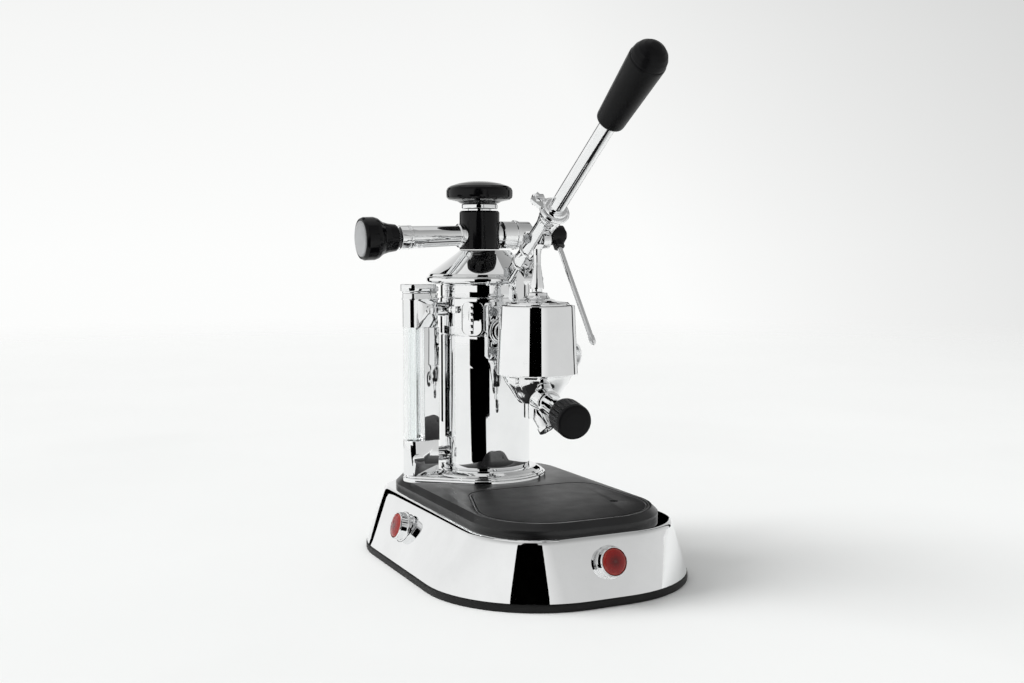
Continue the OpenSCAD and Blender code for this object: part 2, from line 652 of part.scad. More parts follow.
module filter_holder() color("silver") difference() {
  union() {
    at_group() rotate_extrude()
      polygon([[0, 130.5], [14, 130.5], [17, 134], [20.4, 140], [24.6, 146], [26.6, 150.6], [26.8, 153],
        [26.8, 158.4], [0, 158.4]]);
    at_group() rotate([0, 0, 60]) for (a = [0, 180]) rotate([0, 0, a]) intersection() {
      translate([0, 0, 155.6]) cylinder(r = 28.9, h = 2.6);
      translate([0, -9, 150]) cube([40, 18, 12]);
    }
    at_group() rotate([0, 0, 22]) for (a = [0, 180]) rotate([0, 0, a])
      translate([24, -4, 146.8]) cube([4.8, 8, 4.6]);
    at_handle() translate([0, 0, 11]) cylinder(r1 = 10.6, r2 = 8.6, h = 17);
  }
  at_group() rotate_extrude()
    polygon([[0, 133.4], [12.6, 133.4], [15.4, 136], [22, 145], [25.3, 152], [25.3, 160], [0, 160]]);
  at_handle() translate([0, 0, 24]) cylinder(r = 5, h = 8);
  at_group() translate([0, 0, 120]) cylinder(r = 4, h = 20);
}

module filter_basket() color("gainsboro") at_group() difference() {
  rotate_extrude()
    polygon([[0, 141], [17.6, 141], [20, 144.6], [23.6, 152], [23.9, 157.3], [25.1, 157.3], [25.1, 158.3],
      [23.3, 158.3], [23.1, 152.2], [19.6, 145.2], [17.3, 141.6], [0, 141.6]]);
  for (ring = [[4, 6], [8, 12], [12, 18]], i = [0:ring[1] - 1])
    rotate([0, 0, i * 360 / ring[1]]) translate([ring[0], 0, 138]) cylinder(r = 0.7, h = 6);
}

module spout() color("silver") difference() {
  union() {
    at_group() translate([0, 0, 118.5]) cylinder(r = 7, h = 11.9);
    spout_leg() translate([0, 0, -16]) cylinder(r = 6, h = 16);
    spout_leg() translate([0, 0, -18]) cylinder(r = 7.2, h = 3.6);
  }
  at_group() translate([0, 0, 121.6]) cylinder(r = 4, h = 12);
  spout_leg() translate([0, 0, -20]) cylinder(r = 3.6, h = 21);
}

// +Z runs up the slanted outlet of the spout
module spout_leg() {
  at_group() translate([0, 0, 124]) rotate([-38, 0, 24]) children();
}

module handle_tube() color("silver") at_handle() union() {
  translate([0, 0, 28.1]) cylinder(r = 9.2, h = 3);
  translate([0, 0, 24.4]) cylinder(r = 4.95, h = 4);
  translate([0, 0, 31]) cylinder(r = 7.6, h = 26);
  translate([0, 0, 56]) cylinder(r1 = 7.6, r2 = 10.8, h = 5);
  translate([0, 0, 61]) cylinder(r = 10.8, h = 2.4);
  translate([0, 0, 63]) cylinder(r = 5, h = 14);
}

// short ribbed grip with a smooth, slightly domed end
module handle_grip() color([0.05, 0.05, 0.05]) at_handle() difference() {
  rotate_extrude() polygon([[0, 63.6], [11.6, 63.6], [12.6, 64.6], [13, 67], [13, 83.6], [12.4, 85.2],
    [11, 86.2], [7, 87], [0, 87.4]]);
  for (a = [0:15:345]) rotate([0, 0, a]) translate([13.5, 0, 66]) cylinder(r = 0.9, h = 16);
  translate([0, 0, 60]) cylinder(r = 5.02, h = 17.3);
}

base_rim();
bottom_plate();
base_housing();
top_plate();
drip_tray();
drip_cover();
button_bezels();
front_button();
side_button();
switch_bodies();
cord_gland();
pressure_switch();
boiler_foot();
boiler_vessel();
boiler_jacket();
boiler_brim();
boiler_dome();
element_plate();
heating_element();
element_gasket();
manifold();
filler_plug();
filler_seal();
filler_cap();
steam_arm();
steam_spindle();
steam_knob();
steam_knob_disc();
outlet_valve();
wand_nut();
steam_wand();
wand_tip();
gauge_upper_block();
gauge_lower_block();
gauge_cap();
gauge_glass();
gauge_shield();
gauge_guard();
gauge_seals();
gauge_strap();
badge();
group_saddle();
saddle_bolts();
group_head();
group_cap();
group_bell();
group_gasket();
shower_screen();
piston();
piston_seals();
piston_rod();
lever_fork();
lever_pins();
lever_rod();
lever_grip();
filter_holder();
filter_basket();
spout();
handle_tube();
handle_grip();
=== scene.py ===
import bpy, bmesh, json, math
from mathutils import Vector, Matrix


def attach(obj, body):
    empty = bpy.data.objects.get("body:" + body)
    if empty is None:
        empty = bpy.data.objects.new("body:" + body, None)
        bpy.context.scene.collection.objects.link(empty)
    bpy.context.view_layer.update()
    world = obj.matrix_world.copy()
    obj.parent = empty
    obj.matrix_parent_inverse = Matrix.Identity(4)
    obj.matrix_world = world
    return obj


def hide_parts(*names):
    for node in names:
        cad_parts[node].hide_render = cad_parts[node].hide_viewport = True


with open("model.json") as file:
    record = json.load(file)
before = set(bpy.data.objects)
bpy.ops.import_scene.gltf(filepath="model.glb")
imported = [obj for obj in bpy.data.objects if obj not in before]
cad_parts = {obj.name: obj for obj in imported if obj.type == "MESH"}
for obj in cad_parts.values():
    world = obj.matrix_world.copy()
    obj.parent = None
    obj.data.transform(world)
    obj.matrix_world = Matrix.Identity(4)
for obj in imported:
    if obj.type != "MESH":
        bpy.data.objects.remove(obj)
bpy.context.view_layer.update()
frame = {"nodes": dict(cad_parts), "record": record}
record = frame["record"]
nodes = frame["nodes"]
bpy.context.scene.view_settings.view_transform = "Standard"

# ---------- camera ----------

CAMERA_AT = (-0.41342, -0.85895, 0.24826)
HEADING = (0.42843, 0.90357)
PITCH_DOWN = math.radians(4.384)
LENS_MM, SENSOR_MM = 42.21, 36.0

cam_data = bpy.data.cameras.new("camera")
cam_data.lens = LENS_MM
cam_data.sensor_width = SENSOR_MM
camera = bpy.data.objects.new("camera", cam_data)
bpy.context.scene.collection.objects.link(camera)
camera.location = CAMERA_AT
level = math.cos(PITCH_DOWN)
look = Vector((HEADING[0] * level, HEADING[1] * level, -math.sin(PITCH_DOWN)))
camera.rotation_mode = "QUATERNION"
camera.rotation_quaternion = look.to_track_quat("-Z", "Y")
cam_data.clip_start, cam_data.clip_end = 0.02, 60
bpy.context.scene.camera = camera


# ---------- materials ----------

class Nodes:
    """Short names for building one material's node tree."""

    def __init__(self, name):
        self.mat = bpy.data.materials.new(name)
        self.mat.use_nodes = True
        self.tree = self.mat.node_tree
        self.tree.nodes.clear()
        self.out = self.tree.nodes.new("ShaderNodeOutputMaterial")
        self.bsdf = self.tree.nodes.new("ShaderNodeBsdfPrincipled")
        self.link(self.bsdf.outputs[0], self.out.inputs[0])

    def link(self, a, b):
        self.tree.links.new(a, b)

    def add(self, kind, **props):
        n = self.tree.nodes.new(kind)
        for k, v in props.items():
            setattr(n, k, v)
        return n

    def set(self, **values):
        for k, v in values.items():
            self.bsdf.inputs[k.replace("_", " ")].default_value = v

    def place(self, stretch=(1, 1, 1)):
        tc = self.add("ShaderNodeTexCoord")
        mp = self.add("ShaderNodeMapping")
        mp.inputs["Scale"].default_value = stretch
        self.link(tc.outputs["Object"], mp.inputs[0])
        return mp.outputs[0]

    def noise(self, scale, detail=4, rough=0.5, stretch=(1, 1, 1)):
        n = self.add("ShaderNodeTexNoise")
        n.inputs["Scale"].default_value = scale
        n.inputs["Detail"].default_value = detail
        n.inputs["Roughness"].default_value = rough
        self.link(self.place(stretch), n.inputs["Vector"])
        return n.outputs[0]

    def ramp(self, value, stops):
        r = self.add("ShaderNodeValToRGB")
        e = r.color_ramp.elements
        while len(e) < len(stops):
            e.new(0.5)
        for el, (p, c) in zip(e, stops):
            el.position = p
            el.color = c if len(c) == 4 else (*c, 1)
        self.link(value, r.inputs[0])
        return r.outputs[0]

    def map(self, value, lo, hi, a, b):
        m = self.add("ShaderNodeMapRange")
        for i, v in zip((1, 2, 3, 4), (lo, hi, a, b)):
            m.inputs[i].default_value = v
        self.link(value, m.inputs[0])
        return m.outputs[0]

    def bump(self, value, strength, distance):
        b = self.add("ShaderNodeBump")
        b.inputs["Strength"].default_value = strength
        b.inputs["Distance"].default_value = distance
        self.link(value, b.inputs["Height"])
        self.link(b.outputs[0], self.bsdf.inputs["Normal"])


# height of the finest grain, in metres
GRAIN_HEIGHT = 0.0002


def metal(name, colour, rough, streak=0.02, bump=0.0, shade=0.94):
    """Metal with cloudy wiping marks in its gloss and a slight change of tone."""
    m = Nodes(name)
    m.set(Metallic=1.0)
    dark = tuple(c * shade for c in colour)
    m.link(m.ramp(m.noise(28, 6, 0.6), [(0.3, dark), (0.65, colour)]), m.bsdf.inputs["Base Color"])
    m.link(m.map(m.noise(60, 7, 0.65), 0.35, 0.75, rough, rough + streak),
           m.bsdf.inputs["Roughness"])
    if bump:
        m.bump(m.noise(900, 3), bump, GRAIN_HEIGHT)
    return m.mat


def plastic(name, colour, rough, vary=0.08, grain=0.0, grain_scale=2500, level=0.5):
    """Moulded plastic: uneven gloss, slight change of tone and, where wanted, a pebbled grain."""
    m = Nodes(name)
    m.set(Coat_Roughness=0.05, Specular_IOR_Level=level)
    lo = tuple(c * 0.75 for c in colour)
    hi = tuple(min(1, c * 1.3) for c in colour)
    m.link(m.ramp(m.noise(30, 5), [(0.3, lo), (0.7, hi)]), m.bsdf.inputs["Base Color"])
    m.link(m.map(m.noise(70, 6, 0.6), 0.3, 0.7, rough, rough + vary), m.bsdf.inputs["Roughness"])
    if grain:
        m.bump(m.noise(grain_scale, 2), grain, GRAIN_HEIGHT)
    return m.mat


MAT = {
    "chrome": metal("chrome", (0.91, 0.915, 0.92), 0.012, 0.03),
    "zinc_steel": metal("zinc_steel", (0.5, 0.51, 0.52), 0.22, 0.12, 0.1),
    "brass": metal("brass", (0.72, 0.52, 0.22), 0.22, 0.12, shade=0.8),
    "element_sheath": metal("element_sheath", (0.3, 0.29, 0.28), 0.4, 0.2, 0.2, shade=0.7),
    "black_satin": plastic("black_satin", (0.010, 0.010, 0.0105), 0.27, 0.08, 0.04, 1500,
                           level=0.4),
    "black_grained": plastic("black_grained", (0.007, 0.007, 0.0075), 0.4, 0.08, 0.25, 1800,
                             level=0.2),
    "black_gloss": plastic("black_gloss", (0.0025, 0.0025, 0.003), 0.1, 0.06, level=0.2),
    "black_grip": plastic("black_grip", (0.004, 0.004, 0.0045), 0.3, 0.08, 0.04, level=0.12),
    "black_rubber": plastic("black_rubber", (0.005, 0.005, 0.005), 0.5, 0.12, 0.2, level=0.3),
    "grey_disc": plastic("grey_disc", (0.3, 0.305, 0.31), 0.28, 0.1, 0.04),
}


def clear(name, colour, rough, ior=1.45):
    """Clear tube with faint wiping marks."""
    m = Nodes(name)
    m.set(Base_Color=(*colour, 1), Transmission_Weight=1.0, IOR=ior)
    m.link(m.map(m.noise(90, 5, 0.6, (1, 1, 0.2)), 0.4, 0.8, rough, rough + 0.05),
           m.bsdf.inputs["Roughness"])
    return m.mat


# ior 1.12 keeps the thin cover from bending what lies behind it
MAT["glass"] = clear("glass", (0.97, 0.985, 0.985), 0.0)
MAT["clear_cover"] = clear("clear_cover", (0.97, 0.98, 0.98), 0.0, 1.12)


def red_lens(name, place):
    """Red lens with painted shade, darker in the middle over the hollow where the lamp sits and
    lighter towards the rim, with fine moulded rings.
    """
    m = Nodes(name)
    m.set(Roughness=0.12, Specular_IOR_Level=0.3, Coat_Weight=0.2, Coat_Roughness=0.04)
    tc = m.add("ShaderNodeTexCoord")
    axis = place.to_3x3() @ Vector((0, 0, 1))
    sub = m.add("ShaderNodeVectorMath", operation="SUBTRACT")
    sub.inputs[1].default_value = place.translation
    m.link(tc.outputs["Object"], sub.inputs[0])
    cross = m.add("ShaderNodeVectorMath", operation="CROSS_PRODUCT")
    cross.inputs[1].default_value = axis
    m.link(sub.outputs[0], cross.inputs[0])
    ln = m.add("ShaderNodeVectorMath", operation="LENGTH")
    m.link(cross.outputs[0], ln.inputs[0])
    lens_radius = 0.0096
    radius = m.map(ln.outputs["Value"], 0.0, lens_radius, 0.0, 1.0)
    mix = m.add("ShaderNodeMath", operation="MULTIPLY_ADD")
    m.link(m.noise(260, 4), mix.inputs[0])
    mix.inputs[1].default_value = 0.25
    m.link(radius, mix.inputs[2])
    # painted shade: the red darkens from the rim in towards the middle, over the lamp's hollow behind
    # the lens
    m.link(m.ramp(mix.outputs[0], [(0.1, (0.1, 0.03, 0.028)), (0.3, (0.11, 0.006, 0.006)),
                                   (0.62, (0.2, 0.006, 0.006)), (0.95, (0.25, 0.012, 0.01)),
                                   (1.0, (0.32, 0.04, 0.03))]), m.bsdf.inputs["Base Color"])
    wave = m.add("ShaderNodeMath", operation="SINE")
    turns = m.map(ln.outputs["Value"], 0.0, 0.01, 0.0, 88.0)
    m.link(turns, wave.inputs[0])
    m.bump(wave.outputs[0], 0.12, 0.0003)
    return m.mat


MAT["red_lens"] = red_lens("red_lens", Matrix.Identity(4))

slot_of = {s["node"]: s["material_slot"] for s in record["subparts"]}

# ---------- places, the same as the CAD's ----------

MM = 0.001


def at(x=0, y=0, z=0):
    return Matrix.Translation((x * MM, y * MM, z * MM))


def rot(axis, deg):
    return Matrix.Rotation(math.radians(deg), 4, axis)


# half sizes, corner radii and heights of the base, in mm
BASE_W, BASE_D, TOP_W, TOP_D = 103.5, 148, 80, 135.5
BOTTOM_R, TOP_R, SKIRT, BASE_TOP = 88, 50, 5.7, 48
RISE = BASE_TOP - SKIRT
FRONT_LEAN, FLANK_LEAN = (BASE_D - TOP_D) / RISE, (BASE_W - TOP_W) / RISE
BOILER_Y, GROUP_Y, ARM_Z = 67, -32, 260.5
ORIGIN = Matrix.Identity(4)
BOILER = at(0, BOILER_Y)
FILLER = at(-4.6, BOILER_Y)
GROUP = at(0, GROUP_Y)
LEFT = at(0, BOILER_Y, ARM_Z) @ rot("Y", -92)
RIGHT = at(0, BOILER_Y, ARM_Z) @ rot("Y", 90)
LEVER = at(0, 5, 230) @ rot("X", 90 - 35.5)
HANDLE = at(0, GROUP_Y, 137) @ rot("Z", -8) @ rot("X", 90 + 7.4)
WAND = at(67, BOILER_Y, ARM_Z) @ rot("X", 142.5)
FRONT = (at(2.5, FRONT_LEAN * 24 - BASE_D, 29.7)
         @ rot("X", 90 - math.degrees(math.atan(FRONT_LEAN))))
SIDE = at(FLANK_LEAN * 24.7 - BASE_W - 1.1, 19, 30.4) @ rot("Y", 16 - 90)
GLAND = at(0, BASE_D + 1, 22) @ rot("X", 90)


# ---------- mesh helpers ----------

# anything shorter than this counts as nothing
TINY = 1e-6
# longest straight step of a turned piece, in mm
LONGEST_STEP = 9


def soften(points, steps=5):
    """Rounds the corners of a flat path. A point is (a, b) or (a, b, corner radius)."""
    out = []
    n = len(points)
    for i, p in enumerate(points):
        r = p[2] if len(p) > 2 else 0
        here = Vector(p[:2])
        if r and 0 < i < n - 1:
            to_a, to_b = Vector(points[i - 1][:2]) - here, Vector(points[i + 1][:2]) - here
            la, lb = to_a.length, to_b.length
            if la > TINY and lb > TINY:
                to_a, to_b = to_a / la, to_b / lb
                half = math.acos(max(-1, min(1, to_a.dot(to_b)))) / 2
                cut = min(r / math.tan(half), la * 0.49, lb * 0.49) if half > 1e-3 else 0
                a, b = here + to_a * cut, here + to_b * cut
                for k in range(steps + 1):
                    t = k / steps
                    q = a * (1 - t) ** 2 + here * 2 * t * (1 - t) + b * t * t
                    out.append((q.x, q.y))
                continue
        out.append((here.x, here.y))
    return out


def link(name, me):
    o = bpy.data.objects.new(name, me)
    bpy.context.scene.collection.objects.link(o)
    return o


def finish(me, name, body, slot, mat=None, replaces=(), angle=32):
    """Makes a piece from a mesh: smooth shading, the material of its slot, body and the nodes it
    stands for.
    """
    me.polygons.foreach_set("use_smooth", [True] * len(me.polygons))
    me.set_sharp_from_angle(angle=math.radians(angle))
    me.update()
    o = link(name, me)
    me.materials.clear()
    me.materials.append(mat or MAT[slot])
    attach(o, body)
    if replaces:
        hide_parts(*([replaces] if isinstance(replaces, str) else replaces))
    return o


def to_mesh(bm, name, place):
    bmesh.ops.recalc_face_normals(bm, faces=bm.faces)
    bm.transform(place @ Matrix.Scale(MM, 4))
    me = bpy.data.meshes.new(name)
    bm.to_mesh(me)
    bm.free()
    return me


def lathe(profile, place, segs=144, name="turned"):
    """A turned piece: profile is a path of (radius, height) in mm, closed on itself or on the axis."""
    path = soften(profile)
    pts = path[:1]
    for a, b in zip(path, path[1:]):
        n = max(1, math.ceil(math.dist(a, b) / LONGEST_STEP))
        pts += [(a[0] + (b[0] - a[0]) * t / n, a[1] + (b[1] - a[1]) * t / n)
                for t in range(1, n + 1)]
    closed = pts[0][0] > TINY
    bm = bmesh.new()
    rings = []
    for r, z in pts:
        if r < TINY:
            rings.append([bm.verts.new((0, 0, z))])
        else:
            turn = [2 * math.pi * k / segs for k in range(segs)]
            rings.append([bm.verts.new((r * math.cos(a), r * math.sin(a), z)) for a in turn])
    for a, b in zip(rings, rings[1:] + ([rings[0]] if closed else [])):
        for k in range(segs):
            j = (k + 1) % segs
            if len(a) == 1 and len(b) == 1:
                break
            if len(a) == 1:
                bm.faces.new((a[0], b[j], b[k]))
            elif len(b) == 1:
                bm.faces.new((a[k], a[j], b[0]))
            else:
                bm.faces.new((a[k], a[j], b[j], b[k]))
    return to_mesh(bm, name, place)


def turned(name, profile, place, body, slot, replaces=(), segs=144, mat=None):
    """A turned piece that rides on a body."""
    return finish(lathe(profile, place, segs, name), name, body, slot, mat, replaces)


def skin(loops, place=ORIGIN, closed=False, name="skin"):
    """Skin over a stack of closed outlines that all have the same number of points, in mm."""
    bm = bmesh.new()
    rows = [[bm.verts.new(p) for p in loop] for loop in loops]
    n = len(rows[0])
    for a, b in list(zip(rows, rows[1:])) + ([(rows[-1], rows[0])] if closed else []):
        for k in range(n):
            j = (k + 1) % n
            bm.faces.new((a[k], a[j], b[j], b[k]))
    if not closed:
        bm.faces.new(rows[0][::-1])
        bm.faces.new(rows[-1])
    return to_mesh(bm, name, place)


def rounded(w, d, r, z, n=16, edge=12):
    """Points of a rectangle of half sizes w and d with corner radius r at height z."""
    pts = []

    def bridge(a, b):
        return [tuple(a[i] + (b[i] - a[i]) * k / edge for i in range(3)) for k in range(1, edge)]

    for sx, sy, a0 in ((1, 1, 0), (-1, 1, 90), (-1, -1, 180), (1, -1, 270)):
        arc = []
        for k in range(n + 1):
            a = math.radians(a0 + 90 * k / n)
            arc.append((sx * (w - r) + r * math.cos(a), sy * (d - r) + r * math.sin(a), z))
        if pts:
            pts += bridge(pts[-1], arc[0])
        pts += arc
    return pts + bridge(pts[-1], pts[0])


def solid(me, cuts=(), bevel=0.0, clean=False):
    """Cuts a mesh with others, bevels its edges and returns the result as a new mesh."""
    if clean:
        bm = bmesh.new()
        bm.from_mesh(me)
        bmesh.ops.remove_doubles(bm, verts=bm.verts, dist=TINY)
        bmesh.ops.dissolve_limit(bm, angle_limit=math.radians(0.4), verts=bm.verts, edges=bm.edges)
        bm.to_mesh(me)
        bm.free()
    o = link("raw", me)
    tools = []
    for c in cuts:
        t = link("tool", c)
        tools.append(t)
        m = o.modifiers.new("b", "BOOLEAN")
        m.object, m.operation, m.solver = t, "DIFFERENCE", "EXACT"
    if bevel:
        m = o.modifiers.new("bevel", "BEVEL")
        m.width, m.segments = bevel * MM, 3
        m.limit_method, m.angle_limit = "ANGLE", math.radians(34)
    bpy.context.view_layer.update()
    dg = bpy.context.evaluated_depsgraph_get()
    out = bpy.data.meshes.new_from_object(o.evaluated_get(dg))
    out.name = "solid"
    for t in [o] + tools:
        old = t.data
        bpy.data.objects.remove(t)
        bpy.data.meshes.remove(old)
    return out


def soft_copy(node, body, bevel, shade=32):
    """A piece with the CAD node's own shape and rounded edges, standing for that node."""
    me = solid(nodes[node].data.copy(), bevel=bevel, clean=True)
    return finish(me, node + "_soft", body, slot_of[node], None, node, shade)


def rod(r, z0, z1, place):
    """Plain cylinder that cuts a round hole."""
    return lathe([(0, z0), (r, z0), (r, z1), (0, z1)], place, 96)


def block(x0, y0, z0, x1, y1, z1):
    """Plain box that cuts a slot."""
    loop = [(x0, y0), (x1, y0), (x1, y1), (x0, y1)]
    return skin([[(x, y, z) for x, y in loop] for z in (z0, z1)])


def join(*meshes):
    """One mesh out of several."""
    bm = bmesh.new()
    for me in meshes:
        bm.from_mesh(me)
        bpy.data.meshes.remove(me)
    out = bpy.data.meshes.new("joined")
    bm.to_mesh(out)
    bm.free()
    return out


# ---------- base ----------

def housing_size(z, inset):
    """Half width, half depth and corner radius of the housing's outline at height z."""
    up = (z - SKIRT) / RISE
    return tuple(a + (b - a) * up - inset
                 for a, b in ((BASE_W, TOP_W), (BASE_D, TOP_D), (BOTTOM_R, TOP_R)))


def housing_mesh():
    """Tapered shell with a rolled top edge and a thin turned-in lower edge."""
    edge, wall, turn_in, flank_steps = 3.4, 1.5, 0.4, 9
    start = SKIRT + turn_in
    loops = [rounded(*housing_size(SKIRT, 0.5), SKIRT), rounded(*housing_size(start, 0), start)]
    for k in range(1, flank_steps + 1):
        z = start + (BASE_TOP - edge - start) * k / flank_steps
        loops.append(rounded(*housing_size(z, 0), z))
    low, corner = housing_size(BASE_TOP - edge, 0), housing_size(BASE_TOP, 0)
    inner = tuple(c - edge for c in corner)
    for k in range(1, 9):
        t = k / 8
        mix = [a * (1 - t) ** 2 + 2 * t * (1 - t) * c + t * t * b
               for a, c, b in zip(low, corner, inner)]
        z = (BASE_TOP - edge) * (1 - t) ** 2 + 2 * t * (1 - t) * BASE_TOP + t * t * BASE_TOP
        loops.append(rounded(*mix, z))
    loops.append(rounded(*housing_size(BASE_TOP, 14), BASE_TOP))
    loops.append(rounded(*housing_size(BASE_TOP, 14), BASE_TOP - wall))
    loops.append(rounded(*housing_size(BASE_TOP - wall, wall + 2), BASE_TOP - wall))
    loops.append(rounded(*housing_size(SKIRT, wall), SKIRT))
    return skin(loops, closed=True)


shell = solid(housing_mesh(), cuts=[
    rod(10.6, -12, 18, FRONT), rod(10.6, -12, 18, SIDE), rod(12.2, -0.3, 20, SIDE),
    rod(6.2, -6, 20, GLAND)])
finish(shell, "base_shell", "machine", "chrome", replaces="base_housing", angle=40)

rim = [rounded(BASE_W + a, BASE_D + a, BOTTOM_R + a, z) for a, z in (
    (-5, 0), (-0.3, 0), (0.3, 0.3), (0.5, 0.9), (0.5, 4.6), (0.3, 5.3), (-0.2, 5.6),
    (-3, 5.6), (-3.1, 4.6), (-5, 4.6))]
finish(skin(rim, closed=True),
"base_skirt", "machine", "black_rubber", replaces="base_rim", angle=50)

soft_copy("top_plate", "machine", 0.7)
soft_copy("drip_tray", "tray", 0.35)
soft_copy("drip_cover", "tray", 1.4, shade=44)
soft_copy("cord_gland", "machine", 0.6)

BEZEL = [(9.6, -12), (10.3, -12), (10.3, 0.1), (11.9, 0.1, 0.5), (11.9, 1.8, 0.7), (10.8, 1.9, 0.3),
         (10.7, 7.0, 0.9), (10.3, 7.8, 0.3), (9.75, 7.8, 0.3), (9.6, 7.3)]
finish(join(lathe(BEZEL, FRONT), lathe(BEZEL, SIDE)), "button_rings", "machine", "chrome",
       replaces="button_bezels")
LENS = [(0, -4), (9.35, -4, 0.4), (9.4, 6.9, 0.5), (8.9, 7.7, 0.8), (7.4, 8.4, 2), (5.2, 8.9, 2),
        (2.6, 9.15, 2), (0, 9.2)]
for place, node in ((FRONT, "front_button"), (SIDE, "side_button")):
    turned(node + "_lens", LENS, place, node, "red_lens", node, mat=red_lens(node + "_red", place))


# ---------- boiler ----------

def foot_loop(r1, r2, z):
    """Outline of the round boiler seat drawn out to the small seat under the sight glass."""
    gap, big_steps, small_steps, side_steps = 58, 96, 40, 10
    t = math.acos((r1 - r2) / gap)
    touch = math.pi - t
    (ax, ay), (bx, by) = ((r1 * math.cos(touch), r1 * math.sin(touch)),
                          (-gap + r2 * math.cos(touch), r2 * math.sin(touch)))
    pts = []
    for k in range(big_steps + 1):
        a = -touch + 2 * touch * k / big_steps
        pts.append((r1 * math.cos(a), r1 * math.sin(a), z))
    for k in range(1, side_steps):
        pts.append((ax + (bx - ax) * k / side_steps, ay + (by - ay) * k / side_steps, z))
    for k in range(small_steps + 1):
        a = touch + 2 * t * k / small_steps
        pts.append((-gap + r2 * math.cos(a), r2 * math.sin(a), z))
    for k in range(1, side_steps):
        pts.append((bx + (ax - bx) * k / side_steps, -by + (by - ay) * k / side_steps, z))
    return pts


SEAT_R, GAUGE_SEAT_R = 51.5, 15
foot = skin([foot_loop(SEAT_R + a, GAUGE_SEAT_R + a, z) for a, z in (
    (0, 57), (0, 59.4), (-0.25, 60.1), (-0.9, 60.5), (-1.9, 60.6), (-2, 60.8), (-2, 61.2),
    (-2.3, 61.8),
    (-3, 62.1))], BOILER)
foot = solid(foot, cuts=[rod(35.3, 50, 70, BOILER)])
seat = lathe([(35.3, 62.1), (47, 62.1), (47, 62.6, 0.4), (46.4, 63.6, 1), (43.5, 65.6, 1.5),
(41.2, 66, 0.5),
              (35.3, 66)], BOILER)
finish(join(foot, seat), "boiler_seat", "machine", "chrome", replaces="boiler_foot", angle=36)

turned("boiler_wall", [(35.4, 66.1), (37.9, 66.1), (38, 66.3), (38, 177.3, 0.3), (37.6, 177.7),
                       (37.6, 178.1),
                       (38.1, 178.2, 0.3), (38.4, 178.9, 0.3), (38.4, 208.0, 0.3),
                       (38.1, 208.7, 0.2),
                       (37.6, 208.7), (37.6, 209.1), (38, 209.3, 0.2), (38, 218.9), (35.4, 218.9)],
       BOILER, "machine", "chrome", "boiler_jacket", segs=200)
turned("boiler_flange", [(35.4, 219), (40.5, 219, 1), (42.5, 219.6, 1), (48, 220.4, 1),
                         (49.2, 221.4, 0.8),
                         (49.6, 222.6, 0.8), (49.6, 224.6, 0.8), (49, 225.6, 0.6), (48, 226),
                         (37.2, 226),
                         (37.2, 222),
                         (35.4, 222)], BOILER, "machine", "chrome", "boiler_brim", segs=200)
turned("boiler_cone", [(46.6, 226.1), (47.8, 226.1, 0.3), (47, 228.2, 1.4), (24.5, 244.7, 4),
                       (21.0, 247.6, 1.2),
                       (13.4, 247.6), (13.4, 246.2), (20.3, 246.2), (45.6, 227.6)],
       BOILER, "machine", "chrome", "boiler_dome", segs=200)

# ---------- filler, steam arm and outlet ----------

soft_copy("manifold", "machine", 0.9)
turned("filler_neck", [(0, 271), (9.9, 271), (9.9, 281.8), (14.6, 281.8, 0.4), (15.2, 282.6, 0.5),
                       (15.2, 285.4, 0.6), (14.4, 286.4, 0.4), (5, 286.4), (5, 296), (0, 296)],
       FILLER, "filler_cap", "chrome", "filler_plug")
turned("filler_knob", [(5.1, 286.6), (15.6, 286.6, 0.8), (18.4, 288.2, 2), (25.6, 289.8, 1.5),
                       (27.4, 291.2, 1.4),
                       (27.8, 293, 0.8), (27.8, 297.2, 0.9), (26.9, 299.3, 0.9), (24.6, 301, 2),
                       (18, 303.2, 4),
                       (10, 304.6, 4), (0, 305.2), (0, 296.2), (5.1, 296.2)],
       FILLER, "filler_cap", "black_gloss", "filler_cap")
turned("steam_tube", [(3.06, 13.8), (9, 13.8), (9, 20.2, 0.4), (10, 20.4, 0.4), (10, 24, 0.5),
                      (8.4, 24.3, 0.4),
                      (9.3, 66, 0.2), (9.9, 66.2, 0.4), (9.9, 68.4, 0.4), (9.2, 68.5), (9.2, 69.4),
                      (9.9, 69.5, 0.4), (9.9, 76.3, 0.6),
                      (3.06, 76.3)], LEFT, "machine", "chrome", "steam_arm")


def fluted_knob():
    """Flared knob whose rim is cut by eight long round flutes."""
    profile = soften([(3.05, 78.6), (10, 78.6, 0.8), (11, 80, 1), (11.8, 86, 4), (13.4, 91, 5),
                      (16.6, 95.4, 3),
                      (17.5, 98.5, 2), (17.5, 106.4, 1.6), (16.3, 108.8, 0.9), (14.9, 109, 0.3),
                      (14.9, 107.2),
                      (3.05, 107.2)], 6)
    points, flute_r, flute_at, flute_start, flute_lean = 256, 5, 21.6, 84, math.radians(7)
    pitch = math.pi / 4
    loops = []
    for r, z in profile:
        centre = flute_at + max(0.0, (z - flute_start)) * math.tan(flute_lean)
        loop = []
        for k in range(points):
            a = 2 * math.pi * k / points
            off = ((a - math.radians(22.5) + pitch / 2) % pitch) - pitch / 2
            reach = r
            side = centre * math.sin(off)
            if r > 9 and abs(side) < flute_r and z > 79:
                reach = min(r, centre * math.cos(off) - math.sqrt(flute_r ** 2 - side * side))
            loop.append((reach * math.cos(a), reach * math.sin(a), z))
        loops.append(loop)
    return skin(loops, LEFT, closed=True)


